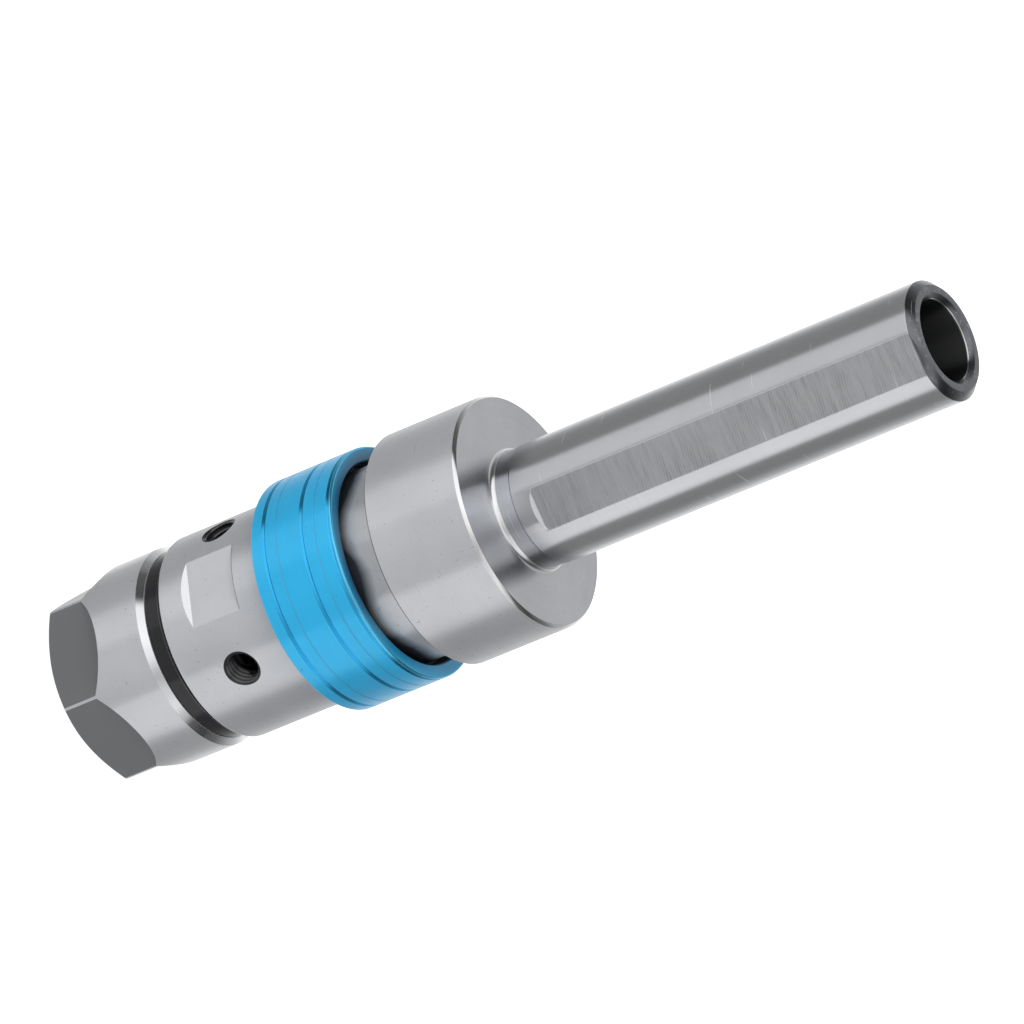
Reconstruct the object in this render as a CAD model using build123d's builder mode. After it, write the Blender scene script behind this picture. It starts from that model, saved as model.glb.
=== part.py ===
from build123d import *
import os
from math import cos, radians, sin, sqrt, tan

# Floating tapping chuck with a straight shank, standing nose down on z = 0, shank up along +Z.
# Sizes are in millimetres. The clamping flat of the shank faces +X.

# Clearances
RUN_CLEAR = 0.05        # radial, between sliding round fits and plain stand-ins of threads
FACE_CLEAR = 0.05       # between sliding flat faces
TAPER_CLEAR = 0.02      # radial, between the collet and the tapers that close it
LOOSE_CLEAR = 0.3       # around pieces that only pass each other

# Shank and head, one piece of steel
SHANK_DIA = 20.0
SHANK_LEN = 80.0
SHANK_TIP_CHAMFER = 1.2
SHANK_TIP_CROWN = 0.1       # of the chamfer's face
SHANK_FLAT_WIDTH = 7.0
SHANK_FLAT_START = 7.0      # from the shoulder to the full depth of the flat
SHANK_NECK_DIA = 19.6
SHANK_NECK_LEN = 3.65
SHANK_NECK_FILLET = 1.0
SHANK_BORE_DIA = 13.5
SHANK_BORE_CHAMFER = 0.8
GUIDE_BORE_DIA = 12.5
HEAD_WALL = 3.2             # around the sleeve's bore
HEAD_LEN = 17.7
HEAD_REAR_CHAMFER = 0.4
HEAD_NOSE_CHAMFER = 0.3
HEAD_REAR_WALL = 4.1

# Length float
COMPRESS_TRAVEL = 4.0
TRAVEL_SPARE = 0.5
FLOAT_GAP = 6.4             # between cover ring and head at rest
SLEEVE_DIA = 32.5
SLEEVE_TOP_CHAMFER = 0.6
STEM_LEN = 31.0
SEAL_SECTION = 1.4
SEAL_INSET = 0.9            # from the head's nose face to the seal groove
KEY_WIDTH = 3.0
KEY_LEN = 16.0
KEY_HEIGHT = 2.8
KEY_STAND_OUT = 1.3         # of a key above the stem
KEY_INSET = 9.5             # from the sleeve's top face to the keys
ROD_DIA = 6.0
ROD_SCREWED_LEN = 15.0
ROD_COLLAR_DIA = 8.0
ROD_COLLAR_LEN = 2.0
ROD_END = 1.0               # of the rod above its nut
SPRING_WIRE = 1.5
SPRING_MEAN_DIA = 10.2
SPRING_LEN = 18.0
SPRING_TURNS = 7
BUSH_LEN = 5.0
BUSH_RING_THICK = 1.2
BUSH_RING_DEPTH = 0.4       # of its groove in the shank bore
BUSH_RING_WALL = 0.9
SEAT_THICK = 1.2
ROD_NUT_AF = 10.0
ROD_NUT_LEN = 5.0
SPRING_RING_GAP = 24.0      # degrees open in both spring rings

# Side float
SIDE_TRAVEL = 0.4           # each way, along X and along Y
RING_WALL = 1.13            # around its cavity
RING_LEN = 15.8
RING_LIP = 2.5
RING_GAP = 0.75             # between its lip and the sleeve
RING_EDGE_CHAMFER = 0.4
RING_NOSE_RADIUS = 0.5
RING_GROOVE_WIDTH = 0.75
RING_GROOVE_DEPTH = 0.25
RING_GROOVES = (2.6, 9.95)      # centres, from the ring's nose face
RING_SCRIBE_WIDTH = 0.2
RING_SCRIBE_DEPTH = 0.08
RING_SCRIBES = (5.05, 12.45)
RING_BEAD = 0.75                # from the top face to the narrow groove beside it
RING_BEAD_GROOVE = 0.4
FLANGE_WIDTH = 1.45         # of the flange beyond the sleeve
FLANGE_THICK = 3.15
WASHER_THICK = 0.75
DISC_INSET = 0.9            # of the disc's edge inside the flange's
DISC_THICK = 2.95
DISC_HOLE_DIA = 10.0
TONGUE_WIDTH = 5.0
TONGUE_HEIGHT = 1.9
TONGUE_LEN = 8.8

# Chuck body
BODY_STEP = 1.0             # from the body's surface out to its thread for the cover ring
BODY_LEN = 20.2             # from the neck to the cover ring
BODY_EDGE_RADIUS = 0.6
BODY_CLOCK = 17.3           # degrees from the shank's flat to the first set screw
BODY_THREAD_INSET = 0.5
BODY_FLAT_DEPTH = 1.0
BODY_FLAT_LEN = 10.0
BODY_FLAT_PLACE = 4.6       # from the body's nose face
BODY_FLAT_ANGLE = -50.0     # degrees from the first set screw
NECK_STEP = 1.2             # in from the body's surface
NECK_LEN = 3.2
NECK_RELIEF_DEPTH = 0.35
NECK_RELIEF_LEN = 0.9
TAP_BORE_DIA = 14.2
TAP_BORE_END = 8.55         # above the set screws' axis
STOP_SCREW_DIA = 8.0
STOP_SCREW_LEN = 7.5
STOP_SCREW_STAND_OUT = 2.0
STOP_SCREW_SOCKET = 4.0
SET_SCREW_COUNT = 4
SET_SCREW_DIA = 6.0
SET_SCREW_PLACE = 0.25      # from the collet's tail to the screws' points
SET_SCREW_SINK = 4.0        # below the body's surface
SET_SCREW_THREAD_LEN = 4.5
SET_SCREW_POINT_DIA = 3.8
SET_SCREW_POINT_LEN = 3.5
SET_SCREW_SOCKET = 3.0
SET_SCREW_COUNTERSINK = 0.4     # deep, from the crown of the body's surface
SCREW_END_CHAMFER = 0.5
SOCKET_SHARE = 0.45         # depth of a socket as a share of its screw's thread

# Collet and nut
COLLET_DIA = 21.0
COLLET_LEN = 31.5
COLLET_BORE_DIA = 8.0
COLLET_TAPER = 8.0          # degrees, half angle
COLLET_NOSE_TAPER = 30.0    # degrees, half angle
COLLET_NOSE_LEN = 2.25
COLLET_RIM_STEP = 0.6       # in from the collet's largest radius
COLLET_RIM_LAND = 0.6
COLLET_GROOVE_DEPTH = 1.0
COLLET_GROOVE_LEN = 1.8
COLLET_RECESS = 0.3         # behind the nut's face
COLLET_TAIL_CHAMFER = 0.5
COLLET_SLOT = 0.8
COLLET_SLOTS = 6            # from each end
COLLET_CLOCK = 7.5          # degrees from the shank's flat to a slot
COLLET_WEB = 5.5            # left uncut at a slot's closed end
NUT_WALL = 4.3              # around its thread
NUT_LEN = 20.0
NUT_FLAT_DEPTH = 2.15
NUT_CORNER = 1.3            # degrees from the shank's flat to a corner of the hexagon
NUT_CUTTER_DIA = 24.0
NUT_FLAT_REACH = 10.9       # from the nut's face to the crown of a flat's arc
NUT_NOSE_CHAMFER = 1.5
NUT_NOSE_ANGLE = 30.0       # degrees from the face
NUT_NOSE_CROWN = 0.15       # of the chamfer's face
NUT_REAR_CHAMFER = 1.0
NUT_GAP = 0.3               # between the nut and the neck
NUT_WEB = 1.6
NUT_THREAD_STEP = 0.9       # from the thrust ring's bore out to the thread
NUT_THREAD_CHAMFER = 0.8
NUT_THREAD_RELIEF = 2.0
NUT_THREAD_RELIEF_DEPTH = 0.95
THRUST_RING_WALL = 1.65
THRUST_LIP_CLEAR = 0.4      # between its lip and the floor of the collet's groove
THRUST_LIP_LEN = 1.4
SNAP_WIRE = 0.7
MOUTH_GAP = 1.0             # between the snap ring and the body's mouth

# Stations along Z, from the nose up
neck_z = NUT_LEN + NUT_GAP
body_z = neck_z + NECK_LEN
ring_z = body_z + BODY_LEN
ring_top_z = ring_z + RING_LEN
head_z = ring_top_z + FLOAT_GAP
shoulder_z = head_z + HEAD_LEN
tip_z = shoulder_z + SHANK_LEN
lip_z = ring_top_z - RING_LIP
flange_top_z = lip_z - WASHER_THICK - FACE_CLEAR
flange_z = flange_top_z - FLANGE_THICK
disc_top_z = flange_z - FACE_CLEAR
disc_z = disc_top_z - DISC_THICK
body_top_z = disc_z - FACE_CLEAR
cavity_top_z = shoulder_z - HEAD_REAR_WALL
sleeve_top_z = cavity_top_z - COMPRESS_TRAVEL - TRAVEL_SPARE
stem_top_z = sleeve_top_z + STEM_LEN
bush_z = stem_top_z + SPRING_LEN
bush_top_z = bush_z + BUSH_LEN
seat_z = bush_top_z + SPRING_LEN
rod_nut_z = seat_z + SEAT_THICK
rod_top_z = rod_nut_z + ROD_NUT_LEN + ROD_END

# Radii and depths that mating pieces share
sleeve_r = SLEEVE_DIA / 2
head_r = sleeve_r + RUN_CLEAR + HEAD_WALL
flange_r = sleeve_r + FLANGE_WIDTH
guide_r = GUIDE_BORE_DIA / 2
stem_r = guide_r - RUN_CLEAR
shank_bore_r = SHANK_BORE_DIA / 2
rod_r = ROD_DIA / 2
seal_section_r = SEAL_SECTION / 2
seal_r = sleeve_r + RUN_CLEAR + seal_section_r
seal_z = head_z + SEAL_INSET + seal_section_r
key_floor_r = stem_r + KEY_STAND_OUT - KEY_HEIGHT
key_mid_z = sleeve_top_z + KEY_INSET + KEY_LEN / 2
tongue_slot_width = TONGUE_WIDTH + 2 * FACE_CLEAR
tongue_slot_depth = TONGUE_HEIGHT + FACE_CLEAR
ring_cavity_r = flange_r + sqrt(2) * SIDE_TRAVEL + 2 * RUN_CLEAR
ring_r = ring_cavity_r + RING_WALL
ring_bore_r = sleeve_r + RING_GAP
disc_r = flange_r - DISC_INSET
tongue_inner_r = disc_r - TONGUE_LEN
body_thread_r = flange_r + LOOSE_CLEAR
body_r = body_thread_r - BODY_STEP
neck_r = body_r - NECK_STEP
tap_bore_r = TAP_BORE_DIA / 2
set_screw_top_r = body_r - SET_SCREW_SINK
set_screw_point_r = set_screw_top_r - SET_SCREW_THREAD_LEN

# Collet outline: face, 30 degree nose, rim, groove, then the long taper to the tail
collet_rim_r = COLLET_DIA / 2 - COLLET_RIM_STEP
collet_groove_r = collet_rim_r - COLLET_GROOVE_DEPTH
collet_cone_z = COLLET_RECESS + COLLET_NOSE_LEN
collet_rim_z = collet_cone_z + COLLET_RIM_LAND
collet_taper_z = collet_rim_z + COLLET_GROOVE_LEN
collet_tail_z = COLLET_RECESS + COLLET_LEN
thrust_lip_z = collet_rim_z + (COLLET_GROOVE_LEN - THRUST_LIP_LEN) / 2
thrust_top_z = thrust_lip_z + THRUST_LIP_LEN
thrust_ring_r = collet_rim_r + THRUST_RING_WALL
thrust_bore_r = thrust_ring_r + RUN_CLEAR
nut_thread_r = thrust_bore_r + NUT_THREAD_STEP
snap_wire_r = SNAP_WIRE / 2
snap_z = thrust_top_z + FACE_CLEAR + snap_wire_r
mouth_z = snap_z + snap_wire_r + MOUTH_GAP
set_screw_z = collet_tail_z + SET_SCREW_PLACE + SET_SCREW_POINT_DIA / 2
tap_bore_top_z = set_screw_z + TAP_BORE_END
stop_screw_z = tap_bore_top_z - STOP_SCREW_STAND_OUT


def collet_taper_r(z):
    return COLLET_DIA / 2 - (z - collet_taper_z) * tan(radians(COLLET_TAPER))


def collet_nose_r(z):
    return collet_rim_r - (collet_cone_z - z) * tan(radians(COLLET_NOSE_TAPER))


def axial_plane(angle):
    """Plane through the axis: its x points outward at the angle, its y points up."""
    turn = radians(angle)
    return Plane((0, 0, 0), x_dir=(cos(turn), sin(turn), 0), z_dir=(sin(turn), -cos(turn), 0))


def outward_plane(angle, distance, z):
    """Plane that faces outward at the angle, at a distance from the axis."""
    turn = radians(angle)
    place = (distance * cos(turn), distance * sin(turn), z)
    return Plane(place, x_dir=(0, 0, 1), z_dir=(cos(turn), sin(turn), 0))


def rims(part, radius, z):
    """Round edges of a turned piece that have one radius and height."""
    circles = part.edges().filter_by(GeomType.CIRCLE)
    return circles.filter_by(lambda e: abs(e.radius - radius) < 1e-4 and abs((e @ 0).Z - z) < 1e-4)


def save(name, part):
    part.label = name
    export_step(part, f"parts/{name}.step")


os.makedirs("parts", exist_ok=True)


# Shank housing: head with the sleeve's cavity below, shank with spring bore above
with BuildPart() as shank_housing:
    with BuildSketch(Plane.XZ):
        with BuildLine():
            outline = Polyline(
                (SHANK_DIA / 2 - SHANK_TIP_CHAMFER, tip_z),
                (shank_bore_r, tip_z),
                (shank_bore_r, bush_z),
                (guide_r, bush_z),
                (guide_r, cavity_top_z),
                (sleeve_r + RUN_CLEAR, cavity_top_z),
                (sleeve_r + RUN_CLEAR, head_z),
                (head_r, head_z),
                (head_r, shoulder_z),
                (SHANK_NECK_DIA / 2, shoulder_z),
                (SHANK_NECK_DIA / 2, shoulder_z + SHANK_NECK_LEN),
                (SHANK_DIA / 2, shoulder_z + SHANK_NECK_LEN),
                (SHANK_DIA / 2, tip_z - SHANK_TIP_CHAMFER),
            )
            SagittaArc(outline @ 0, outline @ 1, SHANK_TIP_CROWN)
        make_face()
    revolve(axis=Axis.Z)
    chamfer(rims(shank_housing, head_r, shoulder_z), HEAD_REAR_CHAMFER)
    chamfer(rims(shank_housing, head_r, head_z), HEAD_NOSE_CHAMFER)
    fillet(rims(shank_housing, SHANK_NECK_DIA / 2, shoulder_z), SHANK_NECK_FILLET)
    chamfer(rims(shank_housing, shank_bore_r, tip_z), SHANK_BORE_CHAMFER)
    with BuildSketch(Plane.XZ):
        with Locations((seal_r, seal_z)):
            Rectangle(SEAL_SECTION + 2 * RUN_CLEAR, SEAL_SECTION + 2 * RUN_CLEAR)
        with Locations((shank_bore_r, bush_top_z + BUSH_RING_THICK / 2 + FACE_CLEAR)):
            Rectangle(2 * BUSH_RING_DEPTH, BUSH_RING_THICK + 2 * FACE_CLEAR)
    revolve(axis=Axis.Z, mode=Mode.SUBTRACT)
    # Keyways, open to the cavity
    keyway_len = key_mid_z + KEY_LEN / 2 + COMPRESS_TRAVEL + TRAVEL_SPARE - cavity_top_z
    with BuildSketch(Plane.XY.offset(cavity_top_z)):
        Rectangle(KEY_WIDTH + 2 * FACE_CLEAR, 2 * (stem_r + KEY_STAND_OUT + 2 * RUN_CLEAR))
    extrude(amount=keyway_len, mode=Mode.SUBTRACT)
    # Clamping flat with its 45 degree run-out
    flat_r = sqrt((SHANK_DIA / 2) ** 2 - (SHANK_FLAT_WIDTH / 2) ** 2)
    flat_z = shoulder_z + SHANK_FLAT_START
    with BuildSketch(Plane.XZ):
        with BuildLine():
            Polyline(
                (flat_r, flat_z),
                (SHANK_DIA / 2, flat_z - (SHANK_DIA / 2 - flat_r)),
                (SHANK_DIA, flat_z - (SHANK_DIA / 2 - flat_r)),
                (SHANK_DIA, tip_z),
                (flat_r, tip_z),
                close=True,
            )
        make_face()
    extrude(amount=SHANK_FLAT_WIDTH, both=True, mode=Mode.SUBTRACT)
save("shank_housing", shank_housing.part)

# Wiper seal in the head's mouth
with BuildPart() as wiper_seal:
    with BuildSketch(Plane.XZ):
        with Locations((seal_r, seal_z)):
            Circle(seal_section_r)
    revolve(axis=Axis.Z)
save("wiper_seal", wiper_seal.part)

# Bush that both springs press on
with BuildPart() as spring_bush:
    with BuildSketch(Plane.XY.offset(bush_z)):
        Circle(shank_bore_r - RUN_CLEAR)
        Circle(rod_r + LOOSE_CLEAR, mode=Mode.SUBTRACT)
    extrude(amount=BUSH_LEN)
save("spring_bush", spring_bush.part)

# Spring ring that holds the bush down on its step
with BuildPart() as bush_spring_ring:
    with BuildSketch(Plane.XZ):
        with Locations((shank_bore_r + BUSH_RING_DEPTH - RUN_CLEAR, bush_top_z + FACE_CLEAR)):
            Rectangle(BUSH_RING_WALL, BUSH_RING_THICK, align=(Align.MAX, Align.MIN))
    revolve(axis=Axis.Z, revolution_arc=360 - SPRING_RING_GAP)
save("bush_spring_ring", bush_spring_ring.part)

# Float spindle: flange with the drive slot, sleeve that slides in the head, keyed stem
with BuildPart() as float_spindle:
    with BuildSketch(Plane.XZ):
        with BuildLine():
            Polyline(
                (0, flange_z),
                (flange_r, flange_z),
                (flange_r, flange_top_z),
                (sleeve_r, flange_top_z),
                (sleeve_r, sleeve_top_z),
                (stem_r, sleeve_top_z),
                (stem_r, stem_top_z),
                (0, stem_top_z),
                close=True,
            )
        make_face()
    revolve(axis=Axis.Z)
    chamfer(rims(float_spindle, sleeve_r, sleeve_top_z), SLEEVE_TOP_CHAMFER)
    with BuildSketch(Plane.XY.offset(flange_z)):
        Rectangle(2 * flange_r, tongue_slot_width)
    extrude(amount=tongue_slot_depth, mode=Mode.SUBTRACT)
    with BuildSketch(Plane.XY.offset(stem_top_z)):
        Circle(rod_r + RUN_CLEAR)
    extrude(amount=-ROD_SCREWED_LEN - RUN_CLEAR, mode=Mode.SUBTRACT)
    for angle in (90, 270):
        with BuildSketch(outward_plane(angle, key_floor_r, key_mid_z)):
            SlotOverall(KEY_LEN + 2 * FACE_CLEAR, KEY_WIDTH + 2 * FACE_CLEAR)
        extrude(amount=KEY_HEIGHT, mode=Mode.SUBTRACT)
save("float_spindle", float_spindle.part)

# Two feather keys between stem and shank
with BuildPart() as drive_keys:
    for angle in (90, 270):
        with BuildSketch(outward_plane(angle, key_floor_r, key_mid_z)):
            SlotOverall(KEY_LEN, KEY_WIDTH)
        extrude(amount=KEY_HEIGHT)
save("drive_keys", drive_keys.part)

# Pull rod, screwed into the stem
with BuildPart() as pull_rod:
    with BuildSketch(Plane.XY.offset(stem_top_z - ROD_SCREWED_LEN)):
        Circle(rod_r)
    extrude(amount=rod_top_z - stem_top_z + ROD_SCREWED_LEN)
    chamfer(pull_rod.edges().group_by(Axis.Z)[-1], SCREW_END_CHAMFER)
    with BuildSketch(Plane.XY.offset(stem_top_z)):
        Circle(ROD_COLLAR_DIA / 2)
    extrude(amount=ROD_COLLAR_LEN)
save("pull_rod", pull_rod.part)

# Seat of the upper spring
with BuildPart() as spring_seat:
    with BuildSketch(Plane.XY.offset(seat_z)):
        Circle(shank_bore_r - LOOSE_CLEAR)
        Circle(rod_r + RUN_CLEAR, mode=Mode.SUBTRACT)
    extrude(amount=SEAT_THICK)
save("spring_seat", spring_seat.part)

# Nut at the rod's end
with BuildPart() as rod_nut:
    with BuildSketch(Plane.XY.offset(rod_nut_z)):
        RegularPolygon(ROD_NUT_AF / 2, 6, major_radius=False)
        Circle(rod_r + RUN_CLEAR, mode=Mode.SUBTRACT)
    extrude(amount=ROD_NUT_LEN)
save("rod_nut", rod_nut.part)

# Springs below and above the bush, with ground ends
for name, foot_z in (("compression_spring", stem_top_z), ("return_spring", bush_top_z)):
    wire_z = foot_z + SPRING_WIRE / 4
    wire_rise = SPRING_LEN - SPRING_WIRE / 2
    with BuildPart() as coil_spring:
        with BuildLine() as coil:
            Helix(wire_rise / SPRING_TURNS, wire_rise, SPRING_MEAN_DIA / 2, center=(0, 0, wire_z))
        with BuildSketch(Plane(coil.line @ 0, z_dir=coil.line % 0)):
            Circle(SPRING_WIRE / 2)
        sweep(path=coil.line, is_frenet=True)
        with BuildSketch(Plane.XY.offset(foot_z)):
            Circle(SPRING_MEAN_DIA)
        extrude(amount=SPRING_LEN, mode=Mode.INTERSECT)
    save(name, coil_spring.part)

# Drive disc: tongues along Y below, along X above, so that the chuck floats both ways
with BuildPart() as drive_disc:
    with BuildSketch(Plane.XY.offset(disc_z)):
        Circle(disc_r)
        Circle(DISC_HOLE_DIA / 2, mode=Mode.SUBTRACT)
    extrude(amount=DISC_THICK)
    with BuildSketch(Plane.XY.offset(disc_z)):
        Rectangle(TONGUE_WIDTH, 2 * disc_r)
        Circle(disc_r, mode=Mode.INTERSECT)
        Circle(tongue_inner_r, mode=Mode.SUBTRACT)
    extrude(amount=-TONGUE_HEIGHT)
    with BuildSketch(Plane.XY.offset(disc_top_z)):
        Rectangle(2 * disc_r, TONGUE_WIDTH)
        Circle(disc_r, mode=Mode.INTERSECT)
        Circle(tongue_inner_r, mode=Mode.SUBTRACT)
    extrude(amount=TONGUE_HEIGHT)
save("drive_disc", drive_disc.part)

# Thrust washer between the spindle's flange and the ring's lip
with BuildPart() as thrust_washer:
    with BuildSketch(Plane.XY.offset(lip_z)):
        Circle(ring_cavity_r - RUN_CLEAR)
        Circle(ring_bore_r, mode=Mode.SUBTRACT)
    extrude(amount=-WASHER_THICK)
save("thrust_washer", thrust_washer.part)

# Cover ring: thread below, cavity for the flange, lip above, turned grooves outside
with BuildPart() as cover_ring:
    with BuildSketch(Plane.XZ):
        with BuildLine():
            Polyline(
                (body_thread_r + RUN_CLEAR, ring_z),
                (ring_r, ring_z),
                (ring_r, ring_top_z),
                (ring_bore_r, ring_top_z),
                (ring_bore_r, lip_z),
                (ring_cavity_r, lip_z),
                (ring_cavity_r, body_top_z),
                (body_thread_r + RUN_CLEAR, body_top_z),
                close=True,
            )
        make_face()
        for groove in RING_GROOVES:
            with Locations((ring_r, ring_z + groove)):
                Rectangle(2 * RING_GROOVE_DEPTH, RING_GROOVE_WIDTH, mode=Mode.SUBTRACT)
        for scribe in RING_SCRIBES:
            with Locations((ring_r, ring_z + scribe)):
                Rectangle(2 * RING_SCRIBE_DEPTH, RING_SCRIBE_WIDTH, mode=Mode.SUBTRACT)
        with Locations((ring_r, ring_top_z - RING_BEAD)):
            Rectangle(2 * RING_GROOVE_DEPTH, RING_BEAD_GROOVE, mode=Mode.SUBTRACT)
    revolve(axis=Axis.Z)
    fillet(rims(cover_ring, ring_r, ring_z), RING_NOSE_RADIUS)
    chamfer(rims(cover_ring, ring_r, ring_top_z), RING_EDGE_CHAMFER)
    chamfer(rims(cover_ring, ring_bore_r, ring_top_z), RING_EDGE_CHAMFER)
save("cover_ring", cover_ring.part)

# Chuck body: collet taper in the nose, tap bore behind it, drive slot on top
seat_end_z = collet_taper_z + (COLLET_DIA / 2 + TAPER_CLEAR - tap_bore_r) / tan(radians(COLLET_TAPER))
with BuildPart() as chuck_body:
    with BuildSketch(Plane.XZ):
        with BuildLine():
            Polyline(
                (collet_taper_r(mouth_z) + TAPER_CLEAR, mouth_z),
                (nut_thread_r, mouth_z),
                (nut_thread_r, neck_z - NUT_THREAD_RELIEF),
                (nut_thread_r - NUT_THREAD_RELIEF_DEPTH, neck_z - NUT_THREAD_RELIEF),
                (nut_thread_r - NUT_THREAD_RELIEF_DEPTH, neck_z),
                (neck_r, neck_z),
                (neck_r, body_z - NECK_RELIEF_LEN),
                (neck_r - NECK_RELIEF_DEPTH, body_z - NECK_RELIEF_LEN),
                (neck_r - NECK_RELIEF_DEPTH, body_z),
                (body_r, body_z),
                (body_r, ring_z + BODY_THREAD_INSET),
                (body_thread_r, ring_z + BODY_THREAD_INSET),
                (body_thread_r, body_top_z),
                (STOP_SCREW_DIA / 2 + RUN_CLEAR, body_top_z),
                (STOP_SCREW_DIA / 2 + RUN_CLEAR, tap_bore_top_z),
                (tap_bore_r, tap_bore_top_z),
                (tap_bore_r, seat_end_z),
                close=True,
            )
        make_face()
    revolve(axis=Axis.Z)
    fillet(rims(chuck_body, body_r, body_z), BODY_EDGE_RADIUS)
    chamfer(rims(chuck_body, nut_thread_r, mouth_z), NUT_THREAD_CHAMFER)
    # Slot for the drive disc's lower tongues
    with BuildSketch(Plane.XY.offset(body_top_z)):
        Rectangle(tongue_slot_width, 2 * body_thread_r)
    extrude(amount=-tongue_slot_depth, mode=Mode.SUBTRACT)
    # Spanner flats with a 45 degree run-out toward the nose and a square end toward the ring
    flat_low_z = body_z + BODY_FLAT_PLACE
    flat_high_z = flat_low_z + BODY_FLAT_LEN
    for angle in (BODY_CLOCK + BODY_FLAT_ANGLE, BODY_CLOCK + BODY_FLAT_ANGLE + 180):
        with BuildSketch(axial_plane(angle)):
            with BuildLine():
                Polyline(
                    (body_r, flat_low_z),
                    (body_r - BODY_FLAT_DEPTH, flat_low_z + BODY_FLAT_DEPTH),
                    (body_r - BODY_FLAT_DEPTH, flat_high_z),
                    (body_r, flat_high_z),
                    close=True,
                )
            make_face()
        extrude(amount=body_r, both=True, mode=Mode.SUBTRACT)
    # Threaded holes of the set screws
    for index in range(SET_SCREW_COUNT):
        angle = BODY_CLOCK + index * 360 / SET_SCREW_COUNT
        with BuildSketch(outward_plane(angle, 0, set_screw_z)):
            Circle(SET_SCREW_DIA / 2 + RUN_CLEAR)
        extrude(amount=body_r + BODY_EDGE_RADIUS, mode=Mode.SUBTRACT)
        with BuildSketch(outward_plane(angle, body_r, set_screw_z)):
            Circle(SET_SCREW_DIA / 2 + RUN_CLEAR + SET_SCREW_COUNTERSINK)
        extrude(amount=-SET_SCREW_COUNTERSINK, taper=45, mode=Mode.SUBTRACT)
save("chuck_body", chuck_body.part)

# Set screws with dog points, which hold the tap's square
for index in range(SET_SCREW_COUNT):
    angle = BODY_CLOCK + index * 360 / SET_SCREW_COUNT
    with BuildPart() as set_screw:
        with BuildSketch(outward_plane(angle, set_screw_point_r, set_screw_z)):
            Circle(SET_SCREW_DIA / 2)
        extrude(amount=SET_SCREW_THREAD_LEN)
        chamfer(set_screw.edges().filter_by(GeomType.CIRCLE), SCREW_END_CHAMFER)
        with BuildSketch(outward_plane(angle, set_screw_point_r, set_screw_z)):
            Circle(SET_SCREW_POINT_DIA / 2)
        extrude(amount=-SET_SCREW_POINT_LEN)
        with BuildSketch(outward_plane(angle, set_screw_top_r, set_screw_z)):
            RegularPolygon(SET_SCREW_SOCKET / 2, 6, major_radius=False)
        extrude(amount=-SET_SCREW_THREAD_LEN * SOCKET_SHARE, mode=Mode.SUBTRACT)
    save(f"set_screw_{index + 1}", set_screw.part)

# Length stop screw, its socket reached through the collet
with BuildPart() as length_stop_screw:
    with BuildSketch(Plane.XY.offset(stop_screw_z)):
        Circle(STOP_SCREW_DIA / 2)
    extrude(amount=STOP_SCREW_LEN)
    chamfer(length_stop_screw.edges().filter_by(GeomType.CIRCLE), SCREW_END_CHAMFER)
    with BuildSketch(Plane.XY.offset(stop_screw_z)):
        RegularPolygon(STOP_SCREW_SOCKET / 2, 6, major_radius=False)
    extrude(amount=STOP_SCREW_LEN * SOCKET_SHARE, mode=Mode.SUBTRACT)
save("length_stop_screw", length_stop_screw.part)

# Collet: slots from both ends in turn let it close on the tap
with BuildPart() as collet:
    with BuildSketch(Plane.XZ):
        with BuildLine():
            Polyline(
                (COLLET_BORE_DIA / 2, COLLET_RECESS),
                (collet_nose_r(COLLET_RECESS), COLLET_RECESS),
                (collet_rim_r, collet_cone_z),
                (collet_rim_r, collet_rim_z),
                (collet_groove_r, collet_rim_z),
                (collet_groove_r, collet_taper_z),
                (COLLET_DIA / 2, collet_taper_z),
                (collet_taper_r(collet_tail_z), collet_tail_z),
                (COLLET_BORE_DIA / 2, collet_tail_z),
                close=True,
            )
        make_face()
    revolve(axis=Axis.Z)
    chamfer(rims(collet, collet_taper_r(collet_tail_z), collet_tail_z), COLLET_TAIL_CHAMFER)
    slot_len = COLLET_LEN - COLLET_WEB
    for index in range(COLLET_SLOTS):
        pitch = 360 / COLLET_SLOTS
        front = COLLET_CLOCK + index * pitch
        for angle, slot_z in ((front, COLLET_RECESS), (front + pitch / 2, collet_tail_z - slot_len)):
            with BuildSketch(axial_plane(angle)):
                with Locations((0, slot_z)):
                    Rectangle(COLLET_DIA, slot_len, align=(Align.MIN, Align.MIN))
            extrude(amount=COLLET_SLOT / 2, both=True, mode=Mode.SUBTRACT)
save("collet", collet.part)

# Thrust ring: presses the collet's nose, and draws it out again by its groove
thrust_z = NUT_WEB + FACE_CLEAR
with BuildPart() as thrust_ring:
    with BuildSketch(Plane.XZ):
        with BuildLine():
            Polyline(
                (collet_nose_r(thrust_z) + TAPER_CLEAR, thrust_z),
                (thrust_ring_r, thrust_z),
                (thrust_ring_r, thrust_top_z),
                (collet_groove_r + THRUST_LIP_CLEAR, thrust_top_z),
                (collet_groove_r + THRUST_LIP_CLEAR, thrust_lip_z),
                (collet_rim_r + TAPER_CLEAR, thrust_lip_z),
                (collet_rim_r + TAPER_CLEAR, collet_cone_z),
                close=True,
            )
        make_face()
    revolve(axis=Axis.Z)
save("thrust_ring", thrust_ring.part)

# Snap ring that keeps the thrust ring in the nut
with BuildPart() as nut_snap_ring:
    with BuildSketch(Plane.XZ):
        with Locations((thrust_bore_r, snap_z)):
            Circle(snap_wire_r)
    revolve(axis=Axis.Z, revolution_arc=360 - SPRING_RING_GAP)
save("nut_snap_ring", nut_snap_ring.part)

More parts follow.
